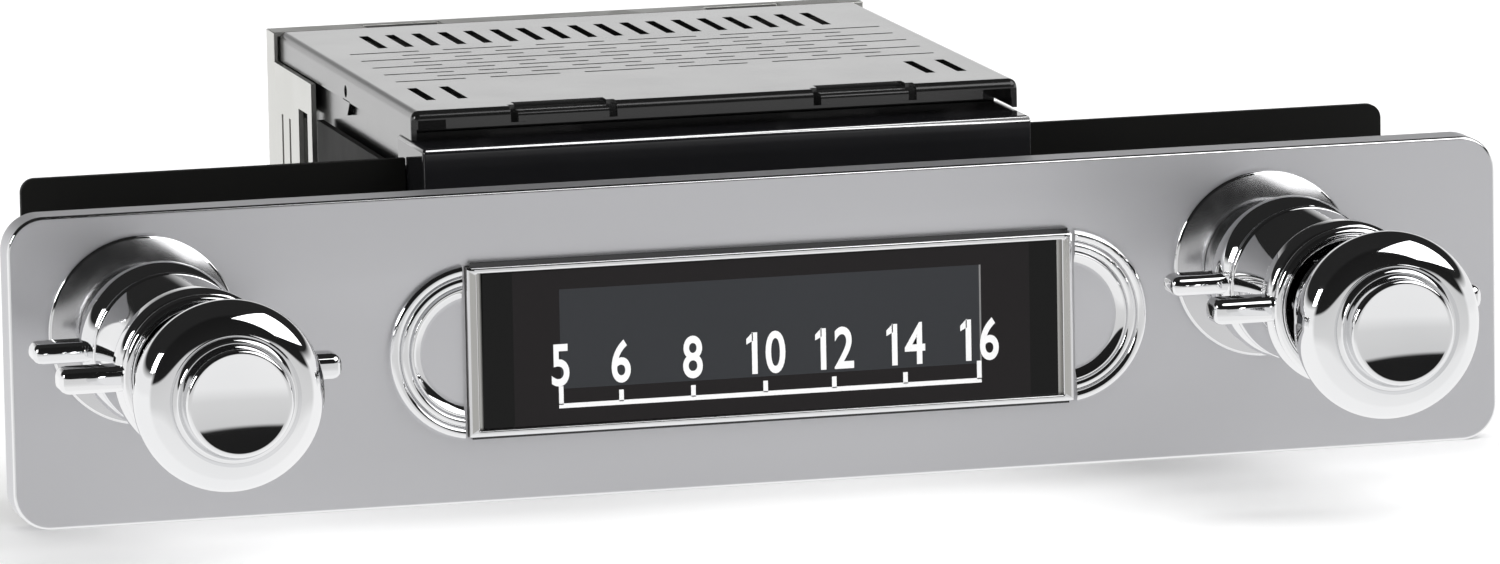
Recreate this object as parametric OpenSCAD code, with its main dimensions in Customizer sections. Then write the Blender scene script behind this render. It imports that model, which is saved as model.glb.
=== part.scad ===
// Shaft-style dashboard radio with a retrofit chassis.
// X runs to the right, Y away from the driver, Z up.  The origin is the
// centre of the mounting plate's bolt pattern, on the plate's front face.

/* [Faceplate] */
// Width of the chromed faceplate
face_w = 263.5; // [256:0.5:272]
// Height of the faceplate
face_h = 53.6; // [50:0.2:56]
// Corner radius of the faceplate
face_r = 6.3; // [3:0.1:9]
// Depth of the faceplate's rim
face_depth = 6.5; // [5:0.1:7]
// Wall of the faceplate
face_wall = 1.6; // [1.2:0.1:2]
// Distance from the mounting plate's front face to the faceplate's front
face_reach = 35.5; // [35:0.1:38]

/* [Dial] */
// Width of the dial frame
dial_w = 107; // [104:0.5:108]
// Height of the dial frame
dial_h = 29.3; // [28:0.1:31]
// Sideways place of the dial's centre
dial_x = 0.8; // [-2:0.1:2]
// Height of the dial's centre above the faceplate's centre
dial_z = -0.5; // [-2:0.1:2]
// How far the dial frame stands proud of the faceplate
dial_proud = 1.7; // [1:0.1:2.5]
// Width of the frame's side bars
bar_side = 2.4; // [1.5:0.1:3]
// Width of the frame's top and bottom bars
bar_top = 1.1; // [0.8:0.1:1.6]
// Outer radius of the round dial ends
end_r = 15.2; // [14.8:0.1:15.6]
// Distance from the dial's centre to the centre of a round end
end_x = 52.1; // [51:0.1:52.5]

/* [Controls] */
// Sideways place of the left control shaft
left_x = -109; // [-112:0.5:-104]
// Sideways place of the right control shaft
right_x = 89.3; // [86:0.1:98]
// Height of both control shafts
shaft_z = 6.7; // [0:0.1:8]
// Radius of the round escutcheon behind each stack of knobs
disc_r = 16.3; // [15:0.1:17]
// Radius of the push knob at its widest
knob_r = 15.9; // [14:0.1:16.5]
// Half span across the wings of the rear lever
rear_span = 22.6; // [20:0.1:24]
// Half span across the wings of the front lever
front_span = 23.8; // [21:0.1:25]
// Radius of the inner control shaft
shaft_r = 1.6; // [1.4:0.05:1.8]
// Running clearance between shaft, sleeves and bushing
run = 0.05; // [0.02:0.01:0.09]
// Travel of the push knob
push = 1.2; // [0.8:0.1:1.4]

/* [Chassis] */
// Width of the top cover
cover_w = 108.9; // [108.6:0.1:109]
// Length of the top cover
cover_l = 107.2; // [100:0.1:110]
// Height of the top cover's upper face
cover_z = 36.7; // [36:0.1:38]
// Height of the lowest faces
base_z = -26.8; // [-28:0.1:-25]
// Thickness of the cover's sheet steel
sheet = 0.8; // [0.6:0.1:1]

/* [Mounting plate] */
// Width of the mounting plate
plate_w = 244.7; // [240:0.1:250]
// Height of the mounting plate's upper edge
plate_top = 28; // [27:0.1:29]
// Thickness of the mounting plate
plate_t = 1.5; // [1.2:0.1:2]
// Sideways distance between the plate's bolt holes
bolt_dx = 228; // [220:1:234]
// Upward distance between the plate's bolt holes
bolt_dz = 35; // [30:1:36]
// Radius of the plate's bolt holes
bolt_r = 2.75; // [2.2:0.05:3]

/* [Hidden] */
$fn = 64;
eps = 0.01;
gap = 0.3;                                   // clearance between bodies that move
face_y = -face_reach;                        // front plane of the faceplate
plate_zc = (plate_top + base_z) / 2;
flange_w = 108.8;                            // front flange of the chassis
flange_front = -12.8;
flange_rear = 7.4;
flange_top = 31.3;
flange_low = -21.5;
cover_y = -5;                                // front edge of the cover
cover_end = cover_y + cover_l;
cover_skirt = 5.1;                           // depth of the cover's side flanges
tray_x = 53.6;                               // outer half width of the tray
tray_y = 8;
tray_end = 101.5;
arm_x = 54.6;                                // inner half width of the plate's arms
arm_t = 1.2;
arm_top = 25.8;
arm_end = 65.5;
case_t = 0.9;                                // zinc rear case
case_y = 71.5;
case_end = 108.5;
board_z = -19;
board_t = 1.6;
mid_r = shaft_r + run;                       // bore of the middle sleeve
mid_out = 2.45;
outer_r = mid_out + run;                     // bore of the outer sleeve
outer_out = 3.3;
bush_r = outer_out + run;                    // bore of the bushing
bush_out = 4.76;
rear_ring = [2.9, 23.6];                     // span of each ring in front of the faceplate
front_ring = [24, 51.6];
knob_span = [53.1, 79.6];
body_span = [-33, -12];                      // control body behind the faceplate
body_half = 11.5;
lens_y = 1.2;                                // lens front, in front of the faceplate
rear_screw_z = [-8, 12];
case_screw_y = 85.6;
arm_screw_y = [22, 52];
SIDES = ["left", "right"];

// ---------- shared shapes ----------

// Points of an arc about (cx, cy)
function arc(cx, cy, r, a0, a1, n = 10) =
    [for (i = [0:n]) [cx + r * cos(a0 + (a1 - a0) * i / n), cy + r * sin(a0 + (a1 - a0) * i / n)]];

// Rectangle with round corners, centred
module round_rect(w, h, r) {
    square([w - 2 * r, h], center = true);
    square([w, h - 2 * r], center = true);
    for (x = [-1, 1], z = [-1, 1]) translate([x * (w / 2 - r), z * (h / 2 - r)]) circle(r);
}

// Extrudes an XZ outline from y0 to y1
module slab(y0, y1) {
    translate([0, y1, 0]) rotate([90, 0, 0]) linear_extrude(y1 - y0) children();
}

// Block between two corners
module block(a, b) { translate(a) cube(b - a); }

// Puts a part drawn along +Z onto a control shaft, pointing at the driver
module on_shaft(side) {
    translate([side == "left" ? left_x : right_x, face_y, shaft_z]) rotate([90, 0, 0]) children();
}

// Tube along +Z
module tube(r_out, r_in, z0, z1) {
    translate([0, 0, z0]) difference() {
        cylinder(r = r_out, h = z1 - z0);
        translate([0, 0, -eps]) cylinder(r = r_in, h = z1 - z0 + 2 * eps);
    }
}

// Cylinder along Y
module rod_y(r, y0, y1) { translate([0, y1, 0]) rotate([90, 0, 0]) cylinder(r = r, h = y1 - y0); }

// Pan-head screw along +Z: the head's seat is at z = 0
module screw(r, len, head_r = 0, head_h = 0) {
    translate([0, 0, -len]) cylinder(r = r, h = len + eps);
    difference() {
        cylinder(r = head_r, h = head_h);
        for (a = [0, 90]) rotate([0, 0, a])
            translate([-head_r * 0.6, -head_r * 0.12, head_h * 0.5])
                cube([head_r * 1.2, head_r * 0.24, head_h]);
    }
}

// ---------- front ----------

module faceplate() color("silver") difference() {
    slab(face_y, face_y + face_depth) round_rect(face_w, face_h, face_r);
    slab(face_y + face_wall, face_y + face_depth + eps)
        round_rect(face_w - 2 * face_wall, face_h - 2 * face_wall, face_r - face_wall);
    translate([dial_x, 0, dial_z])
        slab(face_y - eps, face_y + face_depth) square([dial_w + 0.3, dial_h + 0.3], center = true);
    for (side = SIDES) on_shaft(side) translate([0, 0, -face_wall - eps])
        cylinder(r = bush_out + 0.3, h = face_wall + 2 * eps);
}

// Round end of the dial: a dished plate inside two concentric beads
module dial_end(dir) {
    bead_a = 1.0;
    bead_b = 0.85;
    base = 0.5;
    outline = concat([[0, 0], [end_r, 0], [end_r, base]],
        arc(end_r - bead_a, base, bead_a, 0, 180, 12),
        arc(end_r - 2 * bead_a - bead_b, base, bead_b, 0, 180, 12), [[11.35, base + 0.6]],
        arc(9, 3.4, 3.1, -46, -90, 6), [[0, 0.3]]);
    color("gainsboro") translate([dial_x, 0, dial_z]) difference() {
        translate([dir * end_x, face_y, 0]) rotate([90, 0, 0]) rotate_extrude($fn = 96) polygon(outline);
        translate([0, face_y, 0]) cube([dial_w + 1.6, 8, 2 * end_r + 2], center = true);
    }
}
module dial_end_left() dial_end(-1);
module dial_end_right() dial_end(1);

module dial_frame() color("lightgray") translate([dial_x, face_y, dial_z]) difference() {
    slab(-dial_proud, 0.8) square([dial_w, dial_h], center = true);
    slab(-dial_proud - eps, 1) square([dial_w - 2 * bar_side, dial_h - 2 * bar_top], center = true);
}

module dial_lens() color("black") translate([dial_x, face_y, dial_z])
    slab(-lens_y, 0.4) square([dial_w - 2 * bar_side - 0.1, dial_h - 2 * bar_top - 0.1], center = true);

// Printed line of the scale, with one tick for each station number
module dial_scale() color("white") translate([dial_x, face_y, dial_z]) {
    first = -37.4;
    ticks = [0, 10.6, 23.3, 36.1, 48.3, 61, 74.2];
    z_line = -10.15;
    slab(-lens_y - 0.1, -lens_y) translate([first + ticks[6] / 2, z_line]) square([ticks[6] + 0.8, 0.8], center = true);
    for (i = [0:6]) slab(-lens_y - 0.1, -lens_y)
        translate([first + ticks[i] - 0.4, z_line]) square([0.8, i == 0 || i == 6 ? 3.4 : 2.2]);
}

module light_guide() color("white") translate([dial_x, face_y, dial_z])
    slab(0.9, 2.6) round_rect(98, 24, 1);

module lcd_module() color("darkslategray") translate([dial_x, face_y, dial_z])
    slab(2.8, 5.6) square([78, 21], center = true);

module display_board() color("darkgreen") translate([dial_x, face_y, dial_z]) difference() {
    slab(6, 7.6) square([100, 25.4], center = true);
    for (x = [-1, 1], z = [-1, 1]) translate([x * 46, 7, z * 10]) rod_y(1.4, -2, 2);
}

// Flat cable from the display board down to the main board
module display_ribbon() color("whitesmoke") {
    half = 10;
    top = 1;
    block([-half, face_y + 7.6, top - 0.3], [half, 14, top]);
    block([-half, 13.7, board_z + board_t], [half, 14, top]);
}

module nose_housing() color("black") translate([dial_x, 0, dial_z]) difference() {
    slab(face_y + 0.8, flange_front) square([dial_w, dial_h], center = true);
    slab(face_y + 0.7, face_y + 7.8) square([dial_w - 4, dial_h - 3], center = true);
    slab(face_y + 7.7, flange_front + 1) square([dial_w - 8, dial_h - 7], center = true);
}

// Gloss housing that joins the nose to the chassis, open at the back
module front_flange() color("black") difference() {
    block([-flange_w / 2, flange_front, flange_low], [flange_w / 2, flange_rear, flange_top]);
    block([-flange_w / 2 + 1.6, flange_front + 1.8, flange_low + 1.6],
        [flange_w / 2 - 1.6, flange_rear + 1, flange_top - 1.6]);
    translate([dial_x, 0, dial_z]) slab(flange_front - 1, flange_front + 3)
        square([dial_w - 16, dial_h - 11], center = true);
}

// ---------- mounting plate and control brackets ----------

module mounting_plate() color("black") difference() {
    union() {
        translate([0, 0, plate_zc]) slab(0, plate_t) round_rect(plate_w, plate_top - base_z, 2.5);
        for (s = [-1, 1]) translate([s * (arm_x + arm_t / 2), (arm_end + eps) / 2, (arm_top - 20) / 2])
            cube([arm_t, arm_end + eps, arm_top + 20], center = true);
    }
    block([-arm_x, -1, flange_low - 0.3], [arm_x, plate_t + 1, plate_top + 1]);
    for (x = [-1, 1], z = [-1, 1]) translate([x * bolt_dx / 2, 0, z * bolt_dz / 2])
        rod_y(bolt_r, -1, plate_t + 1);
    for (side = SIDES, z = [-1, 1]) bracket_bolt_place(side, z) rod_y(1.6, -1, plate_t + 1);
    for (y = arm_screw_y) translate([-plate_w / 2, y, 0]) rotate([0, 90, 0])
        cylinder(r = 2.1, h = plate_w);
    for (s = [-1, 1]) block([s * (arm_x + 1) - 4, 33, -8], [s * (arm_x + 1) + 4, 41, 12]);
}

// Screws through the plate's arms into the tray's raised pads
module arm_screws() color("gray") for (s = [-1, 1], y = arm_screw_y)
    translate([s * (arm_x + arm_t), y, 0]) rotate([0, s * 90, 0]) screw(2, 5, 3.8, 2);

module bracket_bolt_place(side, z) {
    translate([(side == "left" ? left_x : right_x), 0, shaft_z - 5 + z * 12]) children();
}

// Folded bracket: the foot is bolted to the plate, and the front tab is
// clamped on the control's bushing
module bracket(side) {
    t = 1.2;
    low = -body_half - t - 0.1;
    color("slategray") difference() {
        union() {
            on_shaft(side) block([-9, low, -face_reach], [9, 10, -face_reach + t]);
            on_shaft(side) block([-9, low, -face_reach], [9, low + t, body_span[1] + t]);
            on_shaft(side) block([-9, low, body_span[1]], [9, 9, body_span[1] + t]);
            bracket_bolt_place(side, -1) block([-9, -t, -6.4], [9, 0, 5]);
        }
        on_shaft(side) translate([0, 0, body_span[1] - 1]) cylinder(r = bush_out + 0.1, h = 4);
        for (z = [-1, 1]) bracket_bolt_place(side, z) {
            rod_y(1.7, -t - 1, 1);
            block([-3, -t - 1, -1.7], [3, 1, 1.7]);
            for (s = [-3, 3]) translate([s, 0, 0]) rod_y(1.7, -t - 1, 1);
        }
    }
}
module bracket_left() bracket("left");
module bracket_right() bracket("right");

module bracket_screws() color("gray") for (side = SIDES, z = [-1, 1])
    bracket_bolt_place(side, z) translate([0, plate_t, 0]) rotate([-90, 0, 0]) screw(1.5, 2.6, 2.8, 1.6);

// ---------- control stack ----------

module control_body(side) color("darkgray") on_shaft(side) difference() {
    block([-body_half, -body_half, body_span[0]], [body_half, body_half, body_span[1] - eps]);
    translate([0, 0, body_span[0] + 1.5]) cylinder(r = 9.5, h = 17.5);
    translate([0, 0, body_span[1] - 4]) cylinder(r = bush_out + 0.02, h = 5);
}
module control_body_left() control_body("left");
module control_body_right() control_body("right");

module bushing(side) color("goldenrod") on_shaft(side) tube(bush_out, bush_r, body_span[1] - 2, 6);
module bushing_left() bushing("left");
module bushing_right() bushing("right");

module bushing_nuts() color("goldenrod") for (side = SIDES) on_shaft(side)
    translate([0, 0, body_span[1] + 1.9]) difference() {
        cylinder(r = 7.4, h = 2.2, $fn = 6);
        translate([0, 0, -1]) cylinder(r = bush_out + 0.02, h = 4);
    }

module lock_washers() color("gray") for (side = SIDES) on_shaft(side)
    tube(7, bush_out + 0.1, body_span[1] + 1.2, body_span[1] + 1.9);

// Round dress nut: a low dome with a round rim
module escutcheon(side) {
    outline = concat([[bush_out + 0.03, 0], [disc_r - 0.3, 0], [disc_r, 0.3]],
        arc(disc_r - 0.5, 0.6, 0.5, 0, 60, 4), arc(disc_r - 7.25, -11.12, 14, 60, 79, 8),
        [[11.2, 2.6], [bush_out + 0.03, 2.6]]);
    color("silver") on_shaft(side) rotate_extrude($fn = 96) polygon(outline);
}
module escutcheon_left() escutcheon("left");
module escutcheon_right() escutcheon("right");

// Each sleeve carries its wiper disc inside the control body
module outer_sleeve(side) color("tan") on_shaft(side) {
    tube(outer_out, outer_r, -17, 21);
    tube(8.6, outer_out - eps, -17, -16);
}
module outer_sleeve_left() outer_sleeve("left");
module outer_sleeve_right() outer_sleeve("right");

module middle_sleeve(side) color("burlywood") on_shaft(side) {
    tube(mid_out, mid_r, -21.5, 49);
    tube(8.6, mid_out - eps, -21.5, -20.5);
}
module middle_sleeve_left() middle_sleeve("left");
module middle_sleeve_right() middle_sleeve("right");

module shaft(side) color("lightgray") on_shaft(side) {
    translate([0, 0, -26]) cylinder(r = shaft_r, h = 99);
    tube(8.2, shaft_r - eps, -24.6, -23.8);
}
module shaft_left() shaft("left");
module shaft_right() shaft("right");

module plunger(side) color("ivory") on_shaft(side) {
    translate([0, 0, -27.6]) cylinder(r = 4.2, h = 1.3);
    translate([0, 0, -30]) cylinder(r = 2, h = 2.5);
}
module plunger_left() plunger("left");
module plunger_right() plunger("right");

// Winged bar across a ring, with round tips
module wings(span, tall, s0, s1) {
    for (d = [-1, 1]) {
        translate([d > 0 ? 10 : -(span - tall / 2), -tall / 2, s0])
            cube([span - tall / 2 - 10, tall, s1 - s0]);
        translate([d * (span - tall / 2), 0, s0]) cylinder(r = tall / 2, h = s1 - s0, $fn = 40);
    }
}

module rear_lever(side) {
    a = rear_ring[0];
    b = rear_ring[1];
    web = 6;
    outline = concat([[9.9, a], [11.3, a], [11.3, a + 10.5], [11.9, a + 11.3]],
        arc(12.3, a + 13.1, 1.8, -90, 0, 6), arc(9.1, a + 14.3, 5, 0, 46, 8), [[12.9, b - 1.4]],
        arc(12.5, b - 0.7, 0.6, -20, 90, 6), [[12, b], [outer_out + 0.02, b],
        [outer_out + 0.02, b - web], [9.9, b - web]]);
    color("silver") on_shaft(side) {
        rotate_extrude($fn = 96) polygon(outline);
        difference() {
            wings(rear_span, 3.6, 14.2, 20.8);
            translate([0, 0, 10]) cylinder(r = 11.5, h = 20);
        }
    }
}
module rear_lever_left() rear_lever("left");
module rear_lever_right() rear_lever("right");

module front_lever(side) {
    a = front_ring[0];
    b = front_ring[1];
    outline = concat([[10.9, a], [12.6, a]], arc(12.9, a + 0.7, 0.6, -90, 90, 6),
        [[13.3, a + 2.2], [12.6, b - 9]], arc(12.8, b - 7, 1.4, -90, 0, 6),
        arc(11.9, b - 5.2, 2.3, 0, 60, 6), [[12.9, b - 2.8]], arc(12.5, b - 1.7, 1.1, -50, 90, 8),
        [[11.8, b - 0.4], [11.7, b - 1.8], [mid_out + 0.02, b - 1.8], [mid_out + 0.02, b - 8],
        [10.9, b - 8]]);
    color("silver") on_shaft(side) {
        rotate_extrude($fn = 96) polygon(outline);
        difference() {
            wings(front_span, 4.3, 43.2, 49.6);
            translate([0, 0, 40]) cylinder(r = 11.5, h = 12);
        }
    }
}
module front_lever_left() front_lever("left");
module front_lever_right() front_lever("right");

// Push knob: neck, bulge, cove and dished cap, hollow behind around its hub
module knob(side) {
    a = knob_span[0];
    b = knob_span[1];
    mid = b - 9.2;
    outline = concat([[9.2, a], [10.8, a], [11, a + 0.3], [11, mid - 9.2]],
        arc(knob_r - 8.5, mid, 8.5, -64, 0, 10), arc(knob_r - 5.5, mid, 5.5, 5, 83.7, 10),
        arc(10.6, b - 2.9, 1.2, 262, 180, 6),
        arc(8.2, b - 0.8, 0.8, 0, 90, 6), arc(0, b + 26.77, 28, -73.4, -90, 8),
        [[0, a + 20], [shaft_r + 0.02, a + 20], [shaft_r + 0.02, a], [5.4, a], [5.4, a + 13],
        [9.2, a + 13]]);
    color("silver") on_shaft(side) difference() {
        rotate_extrude($fn = 120) polygon(outline);
        translate([0, 0, a + 2.6]) rotate([90, 0, 0]) cylinder(r = 1.52, h = 14);
    }
}
module knob_left() knob("left");
module knob_right() knob("right");

module set_screw(side) color("dimgray") on_shaft(side)
    translate([0, 0, knob_span[0] + 2.6]) rotate([90, 0, 0]) difference() {
        translate([0, 0, shaft_r + 0.05]) cylinder(r = 1.5, h = 9);
        translate([0, 0, 8.5]) cylinder(r = 0.8, h = 4, $fn = 6);
    }
module set_screw_left() set_screw("left");
module set_screw_right() set_screw("right");

// ---------- chassis ----------

module chassis_tray() color("darkslategray") difference() {
    union() {
        difference() {
            block([-tray_x, tray_y, base_z], [tray_x, tray_end, cover_z - 1.1]);
            block([-tray_x + case_t, tray_y + case_t, base_z + case_t],
                [tray_x - case_t, tray_end + 1, cover_z]);
        }
        for (s = [-1, 1], y = arm_screw_y) translate([s * tray_x, y, 0]) rotate([0, s * 90, 0])
            translate([0, 0, -0.4]) cylinder(r = 5, h = arm_x - tray_x + 0.4 - eps);
        for (s = [-1, 1]) translate([s * (tray_x - 4), 95, cover_z - 1.6]) cube([8, 13, 1], center = true);
    }
    block([-30, tray_y - 1, -8], [30, tray_y + 2, 8]);
    for (y = arm_screw_y) translate([-60, y, 0]) rotate([0, 90, 0]) cylinder(r = 2.02, h = 120);
    for (z = rear_screw_z) translate([-60, case_screw_y, z]) rotate([0, 90, 0]) cylinder(r = 1.52, h = 120);
    block([-tray_x - 1, 76, -14], [-tray_x + 2, 83, 24]);
    for (x = [-1, 1], y = [18, 92]) translate([x * 44, y, base_z - 1]) cylinder(r = 1.6, h = 3);
}

// Vent slots of the top cover: a rear row that runs in depth, staggered
// fine rows across, and two pairs at the front
module cover_slots() {
    for (i = [0:17]) translate([-42.1 + i * 4.85, 75, 0]) cube([1.7, 16.5, 9]);
    for (row = [0:8]) {
        odd = row % 2;
        for (i = [0:(odd ? 4 : 5)]) translate([-48.7 + odd * 8.55 + i * 17.1, 68.6 - row * 4.6, 0])
            cube([12.6, 0.9, 9]);
    }
    for (x = [-1, 1], d = [42.2, 47.9]) translate([x * d - 0.85, 8.2, 0]) cube([1.7, 15.4, 9]);
}

module top_cover() color("gray") difference() {
    union() {
        difference() {
            block([-cover_w / 2, cover_y, cover_z - cover_skirt], [cover_w / 2, cover_end, cover_z]);
            block([-cover_w / 2 + sheet, cover_y + sheet, cover_z - cover_skirt - 1],
                [cover_w / 2 - sheet, cover_end + 1, cover_z - sheet]);
        }
        for (s = [-1, 1]) translate([s * (cover_w / 2 - sheet / 2), 47.5, cover_z - cover_skirt])
            rotate([90, 0, 90]) linear_extrude(sheet, center = true)
                polygon([[-3.2, 0.2], [-1, -2.5], [1, -2.5], [2.4, 0.2]]);
    }
    translate([0, 0, cover_z - 4]) cover_slots();
    for (s = [-1, 1]) {
        translate([s * cover_w / 2, 47.5, cover_z - 3.4]) rotate([0, 90, 0])
            cylinder(r = 1.1, h = 4, center = true);
        for (d = [-10.5, 10.5]) translate([s * 27.4 + d - 1.2, cover_y - 1, cover_z - cover_skirt - 1])
            cube([2.4, 3, 3.6]);
    }
}

// Zinc-plated side plates of the rear case, with a window and two slots each
module case_sides() color("gainsboro") for (s = [-1, 1]) difference() {
    block([s * (arm_x + case_t / 2) - case_t / 2, case_y, base_z],
        [s * (arm_x + case_t / 2) + case_t / 2, cover_end + gap, 31.4]);
    for (y = [90, 96.2]) block([s * arm_x - 3, y - 0.7, -16], [s * arm_x + 3, y + 0.7, 22.6]);
    block([s * arm_x - 3, 75, -16], [s * arm_x + 3, 82.5, 25.5]);
    for (z = rear_screw_z) translate([-60, case_screw_y, z]) rotate([0, 90, 0]) cylinder(r = 1.7, h = 120);
}

// Zinc-plated cap over the back of the tray
module rear_case() color("gainsboro") difference() {
    block([-arm_x - case_t, cover_end + gap, base_z], [arm_x + case_t, case_end, cover_z]);
    block([-arm_x, cover_end, base_z + case_t], [arm_x, case_end - case_t, cover_z - case_t]);
    for (x = [-38, 26])
        block([x, cover_end - 1, cover_z - case_t - 1], [x + 14, cover_end + 4, cover_z + 1]);
    block([-45, case_end - 3, -6], [-13, case_end + 3, 8]);
    translate([38, 0, 12]) rod_y(5.6, case_end - 3, case_end + 3);
    block([-4, case_end - 3, -14], [24, case_end + 3, 12]);
    translate([44, 0, -16]) rod_y(3.45, case_end - 3, case_end + 3);
}

module case_screws() color("gray") for (s = [-1, 1], z = rear_screw_z)
    translate([s * (arm_x + case_t), case_screw_y, z]) rotate([0, s * 90, 0]) screw(1.5, 3.2, 2.6, 1.2);

// ---------- electronics ----------

module main_board() color("darkgreen") difference() {
    block([-48, 12, board_z], [48, 99, board_z + board_t]);
    for (x = [-1, 1], y = [18, 92]) translate([x * 44, y, board_z - 1]) cylinder(r = 1.6, h = 4);
}

module board_posts() color("goldenrod") for (x = [-1, 1], y = [18, 92])
    translate([x * 44, y, 0]) tube(3, 1.55, base_z + case_t, board_z);

module board_screws() color("gray") for (x = [-1, 1], y = [18, 92])
    translate([x * 44, y, board_z + board_t]) screw(1.5, 7, 2.8, 1.6);

module tuner_can() color("silver") difference() {
    block([12, 24, board_z + board_t], [46, 60, board_z + board_t + 13]);
    block([13, 25, board_z + board_t - 1], [45, 59, board_z + board_t + 12]);
    for (x = [18:5:40]) translate([x, 42, board_z + board_t + 10]) cylinder(r = 1, h = 5);
}

module amplifier_chip() color("black")
    block([-36.4, 62, board_z + board_t], [-31, 92, board_z + board_t + 16]);

// Extruded heat sink with upright fins on its outer side
module heat_sink() color("darkgray") {
    block([-39.5, 62, board_z + board_t], [-36.5, 92.3, 28]);
    for (i = [0:5]) block([-50.5, 62 + i * 5.7, board_z + board_t + 2], [-39.5 + eps, 63.8 + i * 5.7, 28]);
}

module capacitors() color("midnightblue") for (p = [[-20, 30, 6], [-6, 30, 6], [-20, 84, 5], [-6, 84, 5]])
    translate([p[0], p[1], board_z + board_t]) cylinder(r = p[2], h = 5 * p[2] - 8);

// Shrouded socket for the wiring plug, with two rows of blades
module power_socket() color("dimgray") {
    difference() {
        block([-44.5, case_end - 12, -5.5], [-13.5, case_end + 6, 7.5]);
        block([-42.5, case_end - 7, -3.5], [-15.5, case_end + 7, 5.5]);
    }
    for (i = [0:5], z = [-1.8, 3]) block([-40.4 + i * 4.4, case_end - 7 - eps, z],
        [-39 + i * 4.4, case_end - 1.5, z + 0.8]);
}

// Blade fuse beside the power socket
module fuse() color("firebrick") block([-35, case_end + 0.4, 9], [-22, case_end + 5, 14]);

module antenna_socket() color("silver") translate([38, 0, 12]) difference() {
    union() {
        rod_y(5.5, case_end - 14, case_end + 6);
        rod_y(7.5, case_end, case_end + 1.2);
    }
    rod_y(4.6, case_end - 10, case_end + 7);
}

module line_jacks() color("dimgray") {
    difference() {
        block([-3.5, case_end - 14, -13.5], [23.5, case_end + 1, 11.5]);
        for (x = [3, 17], z = [-7, 5]) translate([x, 0, z]) rod_y(1.7, case_end - 8, case_end + 2);
    }
    for (x = [3, 17], z = [-7, 5]) translate([x, 0, z]) difference() {
        rod_y(4.1, case_end + 1 - eps, case_end + 6);
        rod_y(3.2, case_end + 1, case_end + 7);
    }
}

// Stud for a rear support strap: clamped to the case between its collar and a nut
module support_stud() color("gray") translate([44, 0, -16]) {
    rod_y(3.4, case_end - 6, case_end + eps);
    rod_y(7, case_end, case_end + 2.6);
    rod_y(4, case_end + 2.6 - eps, case_end + 14);
}

module support_nut() color("gray") translate([44, case_end - case_t - 3.2, -16]) rotate([-90, 0, 0])
    difference() {
        cylinder(r = 6.5, h = 3.2, $fn = 6);
        translate([0, 0, -1]) cylinder(r = 3.42, h = 6);
    }

// ---------- output ----------

faceplate();
dial_end_left();
dial_end_right();
dial_frame();
dial_lens();
dial_scale();
light_guide();
lcd_module();
display_board();
display_ribbon();
nose_housing();
front_flange();
mounting_plate();
arm_screws();
bracket_left();
bracket_right();
bracket_screws();
control_body_left();
control_body_right();
bushing_left();
bushing_right();
bushing_nuts();
lock_washers();
escutcheon_left();
escutcheon_right();
outer_sleeve_left();
outer_sleeve_right();
middle_sleeve_left();
middle_sleeve_right();
shaft_left();
shaft_right();
plunger_left();
plunger_right();
rear_lever_left();
rear_lever_right();
front_lever_left();
front_lever_right();
knob_left();
knob_right();
set_screw_left();
set_screw_right();
chassis_tray();
top_cover();
case_sides();
rear_case();
case_screws();
main_board();
board_posts();
board_screws();
tuner_can();
amplifier_chip();
heat_sink();
capacitors();
power_socket();
fuse();
antenna_socket();
line_jacks();
support_stud();
support_nut();
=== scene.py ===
import math
import bmesh
import bpy
from mathutils import Matrix, Vector


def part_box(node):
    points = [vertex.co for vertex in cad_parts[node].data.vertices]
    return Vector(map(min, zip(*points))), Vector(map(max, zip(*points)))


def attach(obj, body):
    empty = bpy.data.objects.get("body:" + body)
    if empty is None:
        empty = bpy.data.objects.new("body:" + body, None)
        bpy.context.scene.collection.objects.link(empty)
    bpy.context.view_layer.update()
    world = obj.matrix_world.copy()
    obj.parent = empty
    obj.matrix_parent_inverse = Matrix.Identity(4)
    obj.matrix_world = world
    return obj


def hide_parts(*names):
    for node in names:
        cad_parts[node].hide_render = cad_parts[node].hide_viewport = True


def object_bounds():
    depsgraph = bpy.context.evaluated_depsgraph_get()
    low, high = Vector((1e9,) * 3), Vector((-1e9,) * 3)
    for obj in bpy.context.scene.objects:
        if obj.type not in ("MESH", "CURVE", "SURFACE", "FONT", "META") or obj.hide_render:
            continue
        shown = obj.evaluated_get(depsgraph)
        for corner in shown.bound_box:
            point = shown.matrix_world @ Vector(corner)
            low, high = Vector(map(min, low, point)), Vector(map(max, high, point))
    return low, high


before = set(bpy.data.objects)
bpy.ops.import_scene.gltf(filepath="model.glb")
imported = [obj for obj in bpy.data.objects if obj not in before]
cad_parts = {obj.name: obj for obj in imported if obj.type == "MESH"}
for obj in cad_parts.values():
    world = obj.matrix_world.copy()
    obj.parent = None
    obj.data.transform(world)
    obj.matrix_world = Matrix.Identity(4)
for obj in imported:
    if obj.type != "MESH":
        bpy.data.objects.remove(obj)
cad_lo, cad_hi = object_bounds()

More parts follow.
